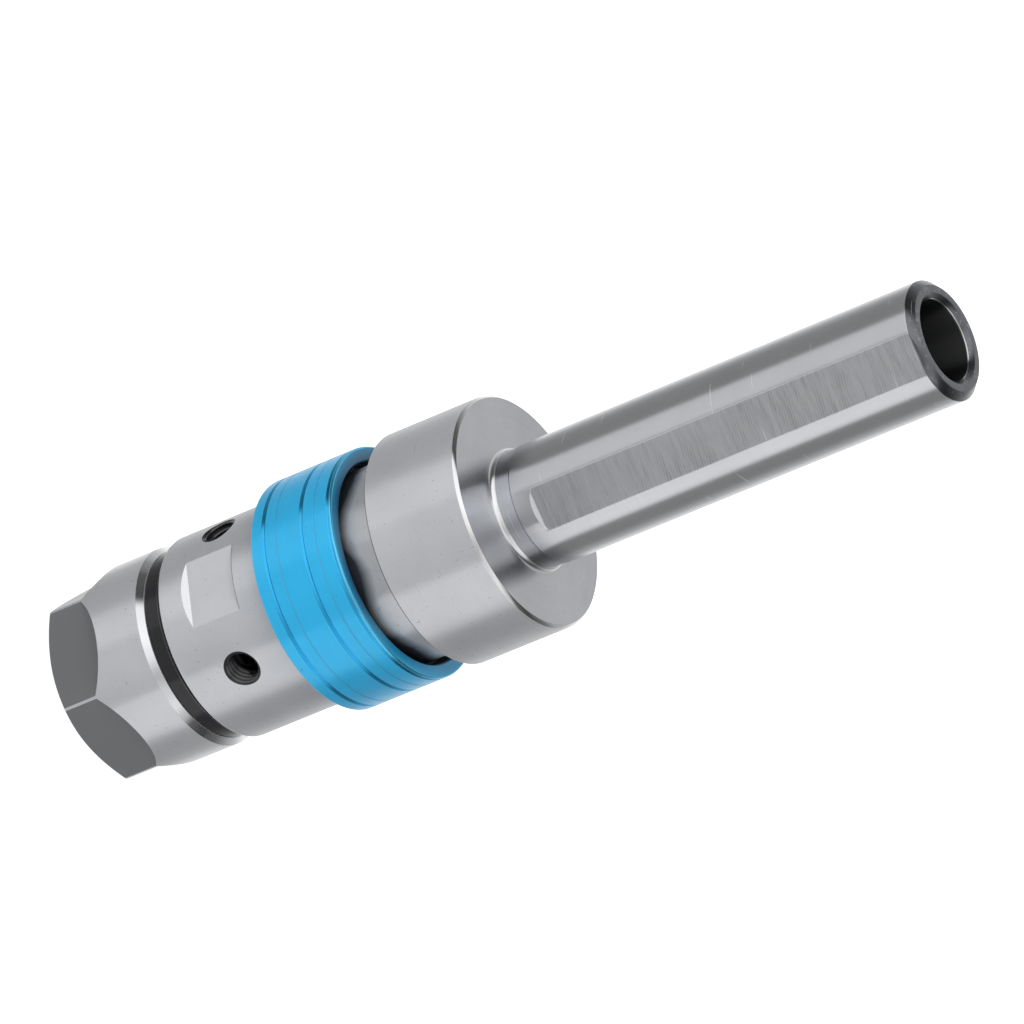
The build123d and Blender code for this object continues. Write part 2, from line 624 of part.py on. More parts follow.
# Clamp nut: round at the rear, six flats milled from the nose with rounded ends
nut_r = nut_thread_r + NUT_WALL
nut_flat_r = nut_r - NUT_FLAT_DEPTH
nose_r = nut_r - NUT_NOSE_CHAMFER / tan(radians(NUT_NOSE_ANGLE))
nut_mouth_r = collet_rim_r + LOOSE_CLEAR
nut_thread_z = snap_z + snap_wire_r + FACE_CLEAR
with BuildPart() as clamp_nut:
    with BuildSketch(Plane.XZ):
        with BuildLine():
            outline = Polyline(
                (nut_r, NUT_NOSE_CHAMFER),
                (nut_r, NUT_LEN - NUT_REAR_CHAMFER),
                (nut_r - NUT_REAR_CHAMFER, NUT_LEN),
                (nut_thread_r + RUN_CLEAR, NUT_LEN),
                (nut_thread_r + RUN_CLEAR, nut_thread_z),
                (thrust_bore_r, nut_thread_z),
                (thrust_bore_r, NUT_WEB),
                (nut_mouth_r, NUT_WEB),
                (nut_mouth_r, 0),
                (nose_r, 0),
            )
            SagittaArc(outline @ 0, outline @ 1, NUT_NOSE_CROWN)
        make_face()
        with Locations((thrust_bore_r, snap_z)):
            Circle(snap_wire_r + FACE_CLEAR, mode=Mode.SUBTRACT)
    revolve(axis=Axis.Z)
    chamfer(rims(clamp_nut, nut_thread_r + RUN_CLEAR, NUT_LEN), NUT_THREAD_CHAMFER)
    for index in range(6):
        angle = NUT_CORNER + 30 + index * 60
        with BuildSketch(outward_plane(angle, nut_flat_r, NUT_FLAT_REACH - NUT_CUTTER_DIA / 2)):
            Circle(NUT_CUTTER_DIA / 2)
        extrude(amount=NUT_FLAT_DEPTH + NUT_REAR_CHAMFER, mode=Mode.SUBTRACT)
save("clamp_nut", clamp_nut.part)
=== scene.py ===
from functools import reduce
from math import cos, pi, radians, sin, sqrt, tan

import bpy
from mathutils import Matrix, Vector


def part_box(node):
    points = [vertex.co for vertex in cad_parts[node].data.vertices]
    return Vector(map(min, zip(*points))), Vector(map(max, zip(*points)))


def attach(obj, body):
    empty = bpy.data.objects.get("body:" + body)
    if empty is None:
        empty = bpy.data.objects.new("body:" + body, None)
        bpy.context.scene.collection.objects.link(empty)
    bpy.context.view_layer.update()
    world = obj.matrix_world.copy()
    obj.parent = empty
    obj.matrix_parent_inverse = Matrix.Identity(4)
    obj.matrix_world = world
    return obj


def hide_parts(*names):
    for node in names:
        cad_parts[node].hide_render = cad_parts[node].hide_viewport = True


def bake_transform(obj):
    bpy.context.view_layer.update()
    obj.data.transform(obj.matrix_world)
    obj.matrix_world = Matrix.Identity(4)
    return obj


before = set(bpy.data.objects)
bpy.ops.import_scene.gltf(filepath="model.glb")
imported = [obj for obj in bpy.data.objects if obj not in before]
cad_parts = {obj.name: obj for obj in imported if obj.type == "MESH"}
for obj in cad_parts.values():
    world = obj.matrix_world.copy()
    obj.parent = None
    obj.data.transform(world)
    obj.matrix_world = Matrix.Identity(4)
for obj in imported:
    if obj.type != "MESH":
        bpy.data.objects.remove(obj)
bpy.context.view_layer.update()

# Head and shank, one bar of alloy steel, hardened. The head is satin from the turning tool, the shank is
# ground bright, and its clamping flat is milled across. The bore takes the springs, the keyways the keys.
MM = 0.001
SIDES = 256
ARC_STEPS = 6
CLEAR = 0.05            # between a piece and what it slides or screws in
SHANK_LEN = 80
SHANK_R = 10
NECK_R = 9.8
NECK_LEN = 3.65
FILLET = 1.0
RELIEF_DEEP = 0.25      # of the fine groove between neck and shank
RELIEF_LEN = 0.3
RELIEF_SLOPE = 0.05
HEAD_NOSE_CHAMFER = 0.3
HEAD_RIM_CHAMFER = 0.5
TIP_CHAMFER = 1.2
BORE_R = 6.75
BORE_CHAMFER = 0.8
RING_SEAT_LEN = 1.3     # of the groove for the bush's spring ring
RING_SEAT_DEEP = 0.4
GUIDE_R = 6.25
SLEEVE_R = 16.25
CAVITY_R = SLEEVE_R + CLEAR
CAVITY_ROOF = 4.1       # from the shoulder to the room that the sleeve slides in
SEAL_DEEP = 1.45
FLAT_WIDTH = 7
FLAT_START = 7          # from the shoulder
FLAT_CORNER_R = 1.0
FLAT_X = sqrt(SHANK_R**2 - (FLAT_WIDTH / 2) ** 2)
MILL_HALF = 3.7         # half the width of the block that mills the flat
MILL_DEEP = 3
KEYWAY_HALF = 1.55
KEYWAY_R = 7.6
KEYWAY_LEN = 25.5


def sized(value):
    """A length, or a place, in millimetres as metres."""
    if isinstance(value, (int, float)):
        return value * MM
    return tuple(part * MM for part in value)


def deselect():
    bpy.ops.object.select_all(action="DESELECT")


def activate(piece):
    deselect()
    piece.select_set(True)
    bpy.context.view_layer.objects.active = piece


def name_piece(name):
    piece = bpy.context.object
    piece.name = name
    piece.data.name = name
    return piece


def arc(centre, radius, start, end):
    """Points of a rounded edge between two angles in degrees, 0 outward and 90 up."""
    angles = [radians(start + (end - start) * step / ARC_STEPS) for step in range(ARC_STEPS + 1)]
    return [(centre[0] + radius * cos(angle), centre[1] + radius * sin(angle)) for angle in angles]


def turn(name, outline, closed=True, sides=SIDES):
    """Turned piece: a circle is extruded along its outline of (radius, height), in millimetres."""
    deselect()
    here = outline[0]
    bpy.ops.mesh.primitive_circle_add(vertices=sides, radius=sized(here[0]), location=(0, 0, sized(here[1])))
    bpy.ops.object.transform_apply()
    bpy.ops.object.mode_set(mode="EDIT")
    bpy.ops.mesh.select_all(action="SELECT")
    if not closed:
        bpy.ops.mesh.edge_face_add()
        bpy.ops.mesh.select_all(action="SELECT")
    for there in outline[1:] + outline[:1] if closed else outline[1:]:
        rise = (0, 0, sized(there[1] - here[1]))
        grow = there[0] / here[0]
        bpy.ops.mesh.extrude_region_move(TRANSFORM_OT_translate={"value": rise})
        bpy.ops.transform.resize(value=(grow, grow, 1), center_override=(0, 0, sized(there[1])))
        here = there
    bpy.ops.mesh.select_all(action="SELECT")
    bpy.ops.mesh.remove_doubles(threshold=sized(0.001))
    bpy.ops.mesh.normals_make_consistent(inside=False)
    bpy.ops.object.mode_set(mode="OBJECT")
    return name_piece(name)


def block(low, high):
    """Box between two corners, in millimetres."""
    deselect()
    middle = [(a + b) / 2 for a, b in zip(low, high)]
    span = [b - a for a, b in zip(low, high)]
    bpy.ops.mesh.primitive_cube_add(size=1, location=sized(middle), scale=sized(span))
    bpy.ops.object.transform_apply()
    return bpy.context.object


def shift(piece, chosen, move):
    """Moves the vertices that a test picks, all in millimetres."""
    activate(piece)
    bpy.ops.object.mode_set(mode="EDIT")
    bpy.ops.mesh.select_all(action="DESELECT")
    bpy.ops.object.mode_set(mode="OBJECT")
    for vertex in piece.data.vertices:
        vertex.select = chosen(vertex.co / MM)
    bpy.ops.object.mode_set(mode="EDIT")
    bpy.ops.transform.translate(value=sized(move))
    bpy.ops.object.mode_set(mode="OBJECT")


def round_corners(piece, chosen, radius):
    """Rounds the edges along X whose both ends a test picks, in millimetres."""
    activate(piece)
    bpy.ops.object.mode_set(mode="EDIT")
    bpy.ops.mesh.select_mode(type="EDGE")
    bpy.ops.mesh.select_all(action="DESELECT")
    bpy.ops.object.mode_set(mode="OBJECT")
    for edge in piece.data.edges:
        first, second = [piece.data.vertices[index].co / MM for index in edge.vertices]
        edge.select = chosen(first) and chosen(second) and abs(first.y - second.y) < 0.01
    bpy.ops.object.mode_set(mode="EDIT")
    bpy.ops.mesh.bevel(offset=sized(radius), segments=ARC_STEPS)
    bpy.ops.mesh.select_mode(type="VERT")
    bpy.ops.object.mode_set(mode="OBJECT")


def cut(piece, tools):
    """Cuts the tools out of the piece, one after the other, and removes them."""
    for tool in tools:
        activate(piece)
        modifier = piece.modifiers.new("cut", "BOOLEAN")
        modifier.operation = "DIFFERENCE"
        modifier.solver = "EXACT"
        modifier.object = tool
        bpy.ops.object.modifier_apply(modifier=modifier.name)
        bpy.data.objects.remove(tool)


def break_edges(piece, width):
    """Rounds every sharp edge a little, then shades the faces smooth with flat faces kept flat."""
    activate(piece)
    bevel = piece.modifiers.new("edges", "BEVEL")
    bevel.width = sized(width)
    bevel.segments = 2
    bevel.limit_method = "ANGLE"
    bevel.angle_limit = radians(28)
    bevel.use_clamp_overlap = True
    bpy.ops.object.modifier_apply(modifier=bevel.name)
    bpy.ops.object.shade_smooth_by_angle(angle=radians(18))
    weighted = piece.modifiers.new("normals", "WEIGHTED_NORMAL")
    weighted.keep_sharp = True
    bpy.ops.object.modifier_apply(modifier=weighted.name)


def box_z(node):
    """Lowest and highest place of a CAD node, in millimetres."""
    low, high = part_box(node)
    return low.z / MM, high.z / MM


head_z, tip_z = box_z("shank_housing")
head_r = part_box("shank_housing")[1].x / MM
shoulder_z = tip_z - SHANK_LEN
neck_top_z = shoulder_z + NECK_LEN
flat_z = shoulder_z + FLAT_START
cavity_z = shoulder_z - CAVITY_ROOF
bush_z, bush_top_z = box_z("spring_bush")
seal_low_z, seal_high_z = box_z("wiper_seal")
shank_housing = turn(
    "head_and_shank",
    [
        (CAVITY_R, head_z),
        (head_r - HEAD_NOSE_CHAMFER, head_z),
        (head_r, head_z + HEAD_NOSE_CHAMFER),
        (head_r, shoulder_z - HEAD_RIM_CHAMFER),
        (head_r - HEAD_RIM_CHAMFER, shoulder_z),
        *arc((NECK_R + FILLET, shoulder_z + FILLET), FILLET, 270, 180),
        (NECK_R, neck_top_z - RELIEF_LEN - RELIEF_SLOPE),
        (NECK_R - RELIEF_DEEP, neck_top_z - RELIEF_LEN),
        (NECK_R - RELIEF_DEEP, neck_top_z - RELIEF_SLOPE),
        (SHANK_R, neck_top_z),
        (SHANK_R, tip_z - TIP_CHAMFER),
        (SHANK_R - TIP_CHAMFER, tip_z),
        (BORE_R + BORE_CHAMFER, tip_z),
        (BORE_R, tip_z - BORE_CHAMFER),
        (BORE_R, bush_top_z + RING_SEAT_LEN),
        (BORE_R + RING_SEAT_DEEP, bush_top_z + RING_SEAT_LEN),
        (BORE_R + RING_SEAT_DEEP, bush_top_z),
        (BORE_R, bush_top_z),
        (BORE_R, bush_z),
        (GUIDE_R, bush_z),
        (GUIDE_R, cavity_z),
        (CAVITY_R, cavity_z),
        (CAVITY_R, seal_high_z + CLEAR),
        (CAVITY_R + SEAL_DEEP, seal_high_z + CLEAR),
        (CAVITY_R + SEAL_DEEP, seal_low_z - CLEAR),
        (CAVITY_R, seal_low_z - CLEAR),
    ],
)
flat_tool = block((FLAT_X, -MILL_HALF, flat_z), (FLAT_X + MILL_DEEP, MILL_HALF, tip_z + 5))
round_corners(flat_tool, lambda place: place.z < flat_z + 1, FLAT_CORNER_R)
shift(flat_tool, lambda place: place.x > FLAT_X + 1 and place.z < flat_z + 1, (0, 0, -MILL_DEEP))
keyway_tool = block((-KEYWAY_HALF, -KEYWAY_R, cavity_z - 1), (KEYWAY_HALF, KEYWAY_R, cavity_z + KEYWAY_LEN))
cut(shank_housing, [flat_tool, keyway_tool])
break_edges(shank_housing, 0.08)
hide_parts("shank_housing")
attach(shank_housing, "shank")


def linear(*colour):
    """A colour written as on screen, 0 to 255, as the shader's own values."""
    parts = [value / 255 for value in colour]
    return tuple(v / 12.92 if v <= 0.04045 else ((v + 0.055) / 1.055) ** 2.4 for v in parts) + (1.0,)


def darker(colour, share):
    return tuple(part * share for part in colour[:3]) + (1.0,)


class Nodes:
    """Nodes of a material, a group or the world. A value that they take is a number, a colour or a socket."""

    def __init__(self, tree):
        self.tree = tree

    def link(self, value, socket):
        if isinstance(value, bpy.types.NodeSocket):
            self.tree.links.new(value, socket)
        else:
            socket.default_value = value

    def calculate(self, operation, *values):
        node = self.tree.nodes.new("ShaderNodeMath")
        node.operation = operation
        for index, value in enumerate(values):
            self.link(value, node.inputs[index])
        return node.outputs[0]

    def both(self, *masks):
        """Mask that is 1 where all of them are."""
        return reduce(lambda first, second: self.calculate("MULTIPLY", first, second), masks)

    def either(self, *masks):
        """Mask that is 1 where any of them is."""
        return reduce(lambda first, second: self.calculate("MAXIMUM", first, second), masks)

    def spread(self, value, low, high, start=0.0, end=1.0):
        """Value from start to end as the input runs from low to high, held beyond both."""
        node = self.tree.nodes.new("ShaderNodeMapRange")
        for index, amount in enumerate((value, low, high, start, end)):
            self.link(amount, node.inputs[index])
        return node.outputs[0]

    def blend(self, share, first, second):
        """Mix of two colours."""
        node = self.tree.nodes.new("ShaderNodeMix")
        node.data_type = "RGBA"
        for index, value in ((0, share), (6, first), (7, second)):
            self.link(value, node.inputs[index])
        return node.outputs[2]

    def noise(self, vector, detail=4.0, roughness=0.55, scale=1.0):
        node = self.tree.nodes.new("ShaderNodeTexNoise")
        node.inputs["Scale"].default_value = scale
        node.inputs["Detail"].default_value = detail
        node.inputs["Roughness"].default_value = roughness
        self.link(vector, node.inputs["Vector"])
        return node.outputs["Fac"]

    def mapped(self, vector, scale=(1, 1, 1), turned=(0, 0, 0)):
        """Vector stretched by a scale and turned, in radians."""
        node = self.tree.nodes.new("ShaderNodeMapping")
        node.inputs["Scale"].default_value = scale
        node.inputs["Rotation"].default_value = turned
        self.link(vector, node.inputs["Vector"])
        return node.outputs[0]

    def axes(self, vector):
        """X, Y and Z of a vector."""
        node = self.tree.nodes.new("ShaderNodeSeparateXYZ")
        self.link(vector, node.inputs[0])
        return node.outputs[0], node.outputs[1], node.outputs[2]

    def distance(self, x, y):
        """Distance from an axis, from the two places across it."""
        square = self.calculate("ADD", self.calculate("MULTIPLY", x, x), self.calculate("MULTIPLY", y, y))
        return self.calculate("SQRT", square)


# Marks that a tool or a grinding wheel leaves round a turned piece, with soft clouds of tone, fine scratches
# and specks over it. They are one shader group, and every finish below places it with its own values.
marks_tree = bpy.data.node_groups.new("turning marks", "ShaderNodeTree")
marks_tree.interface.new_socket("Vector", in_out="INPUT", socket_type="NodeSocketVector")
marks_tree.interface.new_socket("Across", in_out="INPUT", socket_type="NodeSocketFloat")
for label in ("Marks", "Clouds", "Scratches", "Specks"):
    marks_tree.interface.new_socket(label, in_out="OUTPUT", socket_type="NodeSocketFloat")
marks_in = marks_tree.nodes.new("NodeGroupInput")
marks_out = marks_tree.nodes.new("NodeGroupOutput")
marks_group = Nodes(marks_tree)
marks_place = marks_in.outputs["Vector"]
marks_x, marks_y, marks_z = marks_group.axes(marks_place)
marks_height = marks_group.calculate("ADD", marks_z, marks_group.distance(marks_x, marks_y))
marks_join = marks_tree.nodes.new("ShaderNodeCombineXYZ")
MARKS_ALONG = 60.0
for index, (part, scale) in enumerate(
    ((marks_x, MARKS_ALONG), (marks_y, MARKS_ALONG), (marks_height, marks_in.outputs["Across"]))
):
    marks_tree.links.new(marks_group.calculate("MULTIPLY", part, scale), marks_join.inputs[index])
cloud_map = marks_group.mapped(marks_place, (130, 130, 90))
scratch_map = marks_group.mapped(marks_place, (90, 90, 3200), (0.35, 0.5, 0.2))
speck_map = marks_group.mapped(marks_place, (2600, 2600, 1900))
marks_made = {
    "Marks": marks_group.noise(marks_join.outputs[0], 3.0, 0.7),
    "Clouds": marks_group.noise(cloud_map),
    "Scratches": marks_group.spread(marks_group.noise(scratch_map, 2.0, 0.5), 0.70, 0.74),
    "Specks": marks_group.spread(marks_group.noise(speck_map, 0.0, 0.5), 0.79, 0.86, 0.0, 0.55),
}
for label, value in marks_made.items():
    marks_tree.links.new(value, marks_out.inputs[label])

STEEL_GREY = linear(222, 224, 228)
SATIN = 0.62
MIRROR = 0.98


class Finish(Nodes):
    """Material of a turned piece, with the places on it that masks are made from."""

    def __init__(self, name, colour, rough, marks, bump, scratches, metallic=1.0, across=4500.0):
        self.material = bpy.data.materials.new(name)
        self.material.use_nodes = True
        super().__init__(self.material.node_tree)
        self.shader = self.tree.nodes["Principled BSDF"]
        self.shader.inputs["Metallic"].default_value = metallic
        self.place = self.tree.nodes.new("ShaderNodeTexCoord").outputs["Object"]
        self.x, self.y, self.z = self.axes(self.place)
        self.radius = self.distance(self.x, self.y)
        group = self.tree.nodes.new("ShaderNodeGroup")
        group.node_tree = marks_tree
        group.inputs["Across"].default_value = across
        self.link(self.place, group.inputs["Vector"])
        self.marks = group.outputs
        clouds = self.calculate("MULTIPLY", self.marks["Clouds"], 0.9)
        grain = self.spread(self.marks["Marks"], 0.35, 0.65, 0.0, 0.05)
        tone = self.blend(clouds, colour, darker(colour, 0.78))
        tone = self.blend(self.marks["Specks"], tone, darker(colour, 0.3))
        tone = self.blend(grain, tone, darker(colour, 0.5))
        self.link(tone, self.shader.inputs["Base Color"])
        worn = self.calculate("MULTIPLY_ADD", self.marks["Marks"], marks, rough - marks / 2)
        scratched = self.calculate("MULTIPLY_ADD", self.marks["Scratches"], scratches, worn)
        self.link(scratched, self.shader.inputs["Roughness"])
        self.link(self.relief(self.marks["Marks"], bump, 0.02), self.shader.inputs["Normal"])
        if metallic:
            round_axis = self.tree.nodes.new("ShaderNodeTangent")
            round_axis.direction_type = "RADIAL"
            round_axis.axis = "Z"
            self.link(round_axis.outputs[0], self.shader.inputs["Tangent"])
            self.shader.inputs["Anisotropic"].default_value = 1.0
            self.shader.inputs["Anisotropic Rotation"].default_value = 0.25

    def relief(self, height, strength, depth, below=None):
        """Normals of marks of that depth in millimetres, on top of the normals below them."""
        node = self.tree.nodes.new("ShaderNodeBump")
        node.inputs["Strength"].default_value = strength
        node.inputs["Distance"].default_value = sized(depth)
        self.link(height, node.inputs["Height"])
        if below is not None:
            self.link(below, node.inputs["Normal"])
        return node.outputs[0]

    def fade(self, value, low, high, start=0.0, end=1.0):
        """Runs from start to end between two places in millimetres."""
        return self.spread(value, sized(low), sized(high), start, end)

    def within(self, value, low, high, soft=0.02):
        """1 between two places in millimetres, 0 outside them."""
        rising = self.fade(value, low - soft, low + soft)
        return self.both(rising, self.fade(value, high - soft, high + soft, 1.0, 0.0))

    def rewire(self, name, change):
        """Puts a step in front of a socket: change takes what fed it and returns what feeds it now."""
        socket = self.shader.inputs[name]
        self.link(change(socket.links[0].from_socket), socket)

    def paint(self, mask, colour, share=1.0):
        """Lays a share of a colour over what the shader has, where the mask is 1."""
        amount = self.calculate("MULTIPLY", mask, share)
        self.rewire("Base Color", lambda below: self.blend(amount, below, colour))

    def gloss(self, mask, change):
        """Changes the roughness by so much where the mask is 1."""
        self.rewire("Roughness", lambda below: self.calculate("MULTIPLY_ADD", mask, change, below))

    def metal(self, mask, plain=SATIN, bright=MIRROR):
        """Sets how metallic the piece shines, plain or bright where the mask is 1."""
        self.link(self.calculate("MULTIPLY_ADD", mask, bright - plain, plain), self.shader.inputs["Metallic"])

    def coat(self, weight, rough):
        self.shader.inputs["Coat Weight"].default_value = weight
        self.shader.inputs["Coat Roughness"].default_value = rough


head = Finish("ground steel", STEEL_GREY, 0.29, marks=0.08, bump=0.02, scratches=0.05, metallic=SATIN)
on_shank = head.within(head.z, shoulder_z + 0.05, tip_z + 1)
on_face = head.within(head.z, shoulder_z - 0.05, shoulder_z + 0.05)
lit_rim = head.both(
    head.within(head.z, shoulder_z - 0.55, shoulder_z - 0.02, 0.01),
    head.within(head.radius, head_r - 0.65, head_r + 0.1),
)
on_end = head.both(
    head.within(head.z, tip_z - 1.15, tip_z + 1),
    head.within(head.radius, BORE_R + 0.1, SHANK_R - 0.04),
)
on_flat = head.both(
    head.within(head.x, FLAT_X - 0.06, FLAT_X + 0.06),
    head.within(head.z, flat_z - 0.1, tip_z - 0.9),
)
lit_ramp = head.both(
    head.within(head.z, flat_z - 0.75, flat_z + 0.6),
    head.within(head.x, FLAT_X + 0.03, SHANK_R),
    head.fade(head.radius, SHANK_R - 0.04, SHANK_R - 0.02, 1.0, 0.0),
)
lit_fillet = head.within(head.z, shoulder_z + 0.06, shoulder_z + 0.8)
on_neck = head.within(head.z, shoulder_z + 0.8, neck_top_z)
shaded_under_edge = head.within(head.z, head_z + 0.02, head_z + 0.26, 0.01)
shaded_bore = head.fade(head.radius, BORE_R + 0.06, BORE_R + 0.1, 1.0, 0.0)
bore_edge_highlight = head.both(
    head.within(head.z, tip_z - 0.86, tip_z - 0.66, 0.01),
    head.within(head.radius, BORE_R - 0.05, BORE_R + 0.14, 0.01),
)
end_mottle = head.spread(head.noise(head.place, 5.0, 0.75, 900), 0.56, 0.72, 0.0, 0.7)
head.paint(on_shank, linear(246, 247, 249), 0.2)
# Painted shade on the head's lower edge, toward the ring.
head.paint(shaded_under_edge, linear(60, 62, 66))
# Painted highlight on the head's rim chamfer, which is also made glossier and more metallic below.
head.paint(lit_rim, linear(254, 254, 255))
# Painted highlight on the fillet ring at the shoulder.
head.paint(lit_fillet, linear(252, 252, 254))
head.paint(head.both(head.marks["Specks"], on_shank), linear(244, 245, 247))
# Painted shade inside the bore.
head.paint(shaded_bore, linear(44, 44, 46), 0.85)
head.paint(on_end, linear(124, 126, 130))
# Painted highlight on the bore's inner edge.
head.paint(bore_edge_highlight, linear(215, 216, 218))
head.paint(head.both(on_end, end_mottle), linear(205, 207, 210))
# Painted highlight on the ramp where the flat starts.
head.paint(lit_ramp, linear(250, 250, 252))
head.gloss(on_shank, -0.10)
head.gloss(on_face, -0.07)
head.gloss(on_neck, -0.07)
head.gloss(lit_rim, -0.22)
head.gloss(lit_fillet, -0.05)
head.gloss(shaded_bore, 0.12)
head.gloss(bore_edge_highlight, -0.15)
head.gloss(on_flat, 0.14)
head.metal(head.either(on_shank, lit_rim, on_face))
shank_scratches = head.both(head.marks["Scratches"], on_shank)
head.rewire("Metallic", lambda below: head.calculate("MULTIPLY_ADD", shank_scratches, -0.5, below))
mill_wave = head.tree.nodes.new("ShaderNodeTexWave")
mill_wave.bands_direction = "Z"
mill_wave.inputs["Scale"].default_value = 680
mill_wave.inputs["Distortion"].default_value = 2.4
mill_wave.inputs["Detail"].default_value = 2
mill_wave.inputs["Detail Scale"].default_value = 0.6
head.link(head.mapped(head.place, turned=(0.16, 0, 0)), mill_wave.inputs["Vector"])
mill_streaks = head.noise(head.mapped(head.place, (160, 160, 1500), (0.2, 0, 0)), 3.0, 0.6)
mill_mix = head.calculate("MULTIPLY_ADD", mill_streaks, 0.5, mill_wave.outputs["Fac"])
mill_share = head.spread(head.marks["Clouds"], 0.35, 0.6, 0.35, 1.0)
mill_marks = head.both(mill_mix, on_flat, mill_share)
head.rewire("Normal", lambda below: head.relief(mill_marks, 0.8, 0.03, below))
head.paint(head.both(mill_marks, head.spread(mill_streaks, 0.35, 0.65, 0.0, 0.5)), linear(158, 160, 164))
shank_housing.data.materials.append(head.material)

# Float spindle, turned and ground: its sleeve slides in the head and shows between the head and the
# blue ring. Its flange, slotted below for the drive disc, is held by the ring's lip.
FLANGE_LEN = 3.15
STEM_R = 6.2
SLEEVE_PLAY = 4.5       # from the sleeve up to the roof of its room
SLEEVE_CHAMFER = 0.6
ROD_R = 3.05
ROD_DEEP = 15.05
KEY_SEAT_HALF = 1.55
KEY_SEAT_DEEP = 1.5
SLOT_HALF = 2.55
SLOT_DEEP = 1.95
SLOT_REACH = 20
flange_z, stem_top_z = box_z("float_spindle")
flange_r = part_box("float_spindle")[1].y / MM
key_low_z, key_high_z = box_z("drive_keys")
sleeve_top_z = cavity_z - SLEEVE_PLAY
float_spindle = turn(
    "float_spindle_sleeve",
    [
        (flange_r, flange_z),
        (flange_r, flange_z + FLANGE_LEN),
        (SLEEVE_R, flange_z + FLANGE_LEN),
        (SLEEVE_R, sleeve_top_z - SLEEVE_CHAMFER),
        (SLEEVE_R - SLEEVE_CHAMFER, sleeve_top_z),
        (STEM_R, sleeve_top_z),
        (STEM_R, stem_top_z),
        (ROD_R, stem_top_z),
        (ROD_R, stem_top_z - ROD_DEEP),
    ],
    closed=False,
)
slot_top_z = flange_z + SLOT_DEEP
spindle_tools = [block((-SLOT_REACH, -SLOT_HALF, flange_z - 1), (SLOT_REACH, SLOT_HALF, slot_top_z))]
for side in (-1, 1):
    seat_low, seat_high = sorted((side * (STEM_R - KEY_SEAT_DEEP), side * (STEM_R + 1)))
    spindle_tools.append(
        block((-KEY_SEAT_HALF, seat_low, key_low_z - CLEAR), (KEY_SEAT_HALF, seat_high, key_high_z + CLEAR))
    )
cut(float_spindle, spindle_tools)
break_edges(float_spindle, 0.12)
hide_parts("float_spindle")
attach(float_spindle, "spindle")

# Painted dark reflection and shade on the sleeve in the gap next to the ring. Its edge waves round the sleeve
# in six lobes and strays a little up and down.
SHADE_LOBES = 6
SHADE_STRAY = 1.6          # how far the painted shade's edge strays along the sleeve
SHADE_LOBE_DEPTH = 0.9
sleeve = Finish(
    "polished steel", linear(226, 226, 228), 0.27, marks=0.02, bump=0.004, scratches=0.0, metallic=SATIN
)
ring_z, ring_top_z = box_z("cover_ring")
shade_noise = sleeve.noise(sleeve.mapped(sleeve.place, (160, 160, 120)), 2.0, 0.5)
shade_turn = sleeve.calculate("ARCTAN2", sleeve.y, sleeve.x)
shade_wander = sleeve.calculate("MULTIPLY", shade_noise, 2.6)
shade_phase = sleeve.calculate("MULTIPLY_ADD", shade_turn, SHADE_LOBES, shade_wander)
shade_lobe = sleeve.calculate("COSINE", sleeve.calculate("ADD", shade_phase, -0.7))
shade_wave = sleeve.calculate("MULTIPLY", shade_lobe, sized(SHADE_LOBE_DEPTH))
shade_reach = sleeve.calculate("MULTIPLY_ADD", shade_noise, sized(SHADE_STRAY), shade_wave)
shade_height = sleeve.calculate("SUBTRACT", sleeve.z, shade_reach)
painted_sleeve_shade = sleeve.fade(shade_height, ring_top_z - 1.0, ring_top_z + 1.4, 1.0, 0.0)
# Painted dark reflection and shade on the sleeve next to the ring.
sleeve.paint(painted_sleeve_shade, linear(30, 36, 46), 0.95)
float_spindle.data.materials.append(sleeve.material)

# Cover ring, turned from aluminium and dyed blue: it screws on the chuck body and keeps the float
# parts in. Wide V grooves and two scribed lines run round it, and its upper edge is a narrow bead.
BODY_THREAD_R = 18.0
RING_GAP = 0.75         # between the sleeve and the lip, the room of the side float
RING_WALL = 1.13
LIP_LEN = 2.5
LIP_CHAMFER = 0.4
NOSE_ROUND = 0.5
RIM_ROUND = 0.4
WIDE_GROOVES = ((2.6, 0.75), (9.95, 0.75), (15.1, 0.55))
GROOVE_DEEP = 0.25
SCRIBED_LINES = (5.05, 12.45)
SCRIBE_WIDTH = 0.2
SCRIBE_DEEP = 0.08
LONG_WALL = 0.62        # the share of a groove's width that its wall toward the nose takes
ring_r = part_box("cover_ring")[1].x / MM
lip_z = ring_top_z - LIP_LEN
lip_r = SLEEVE_R + RING_GAP
lip_edge_r = lip_r + LIP_CHAMFER
body_top_z = box_z("chuck_body")[1]


def groove(middle, width, deep):
    """Outline of one V groove, upwards, with its middle measured from the ring's nose face."""
    low = ring_z + middle - width / 2
    return [(ring_r, low), (ring_r - deep, low + LONG_WALL * width), (ring_r, low + width)]


ring_cuts = [(middle, width, GROOVE_DEEP) for middle, width in WIDE_GROOVES]
ring_cuts += [(middle, SCRIBE_WIDTH, SCRIBE_DEEP) for middle in SCRIBED_LINES]
cover_ring = turn(
    "cover_ring_anodised",
    [
        (BODY_THREAD_R + CLEAR, ring_z),
        *arc((ring_r - NOSE_ROUND, ring_z + NOSE_ROUND), NOSE_ROUND, -90, 0),
        *[point for ring_cut in sorted(ring_cuts) for point in groove(*ring_cut)],
        *arc((ring_r - RIM_ROUND, ring_top_z - RIM_ROUND), RIM_ROUND, 0, 90),
        (lip_edge_r, ring_top_z),
        (lip_r, ring_top_z - LIP_CHAMFER),
        (lip_r, lip_z),
        (ring_r - RING_WALL, lip_z),
        (ring_r - RING_WALL, body_top_z),
        (BODY_THREAD_R + CLEAR, body_top_z),
    ],
)
break_edges(cover_ring, 0.05)
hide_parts("cover_ring")
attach(cover_ring, "chuck")
RING_BLUE = linear(40, 196, 255)
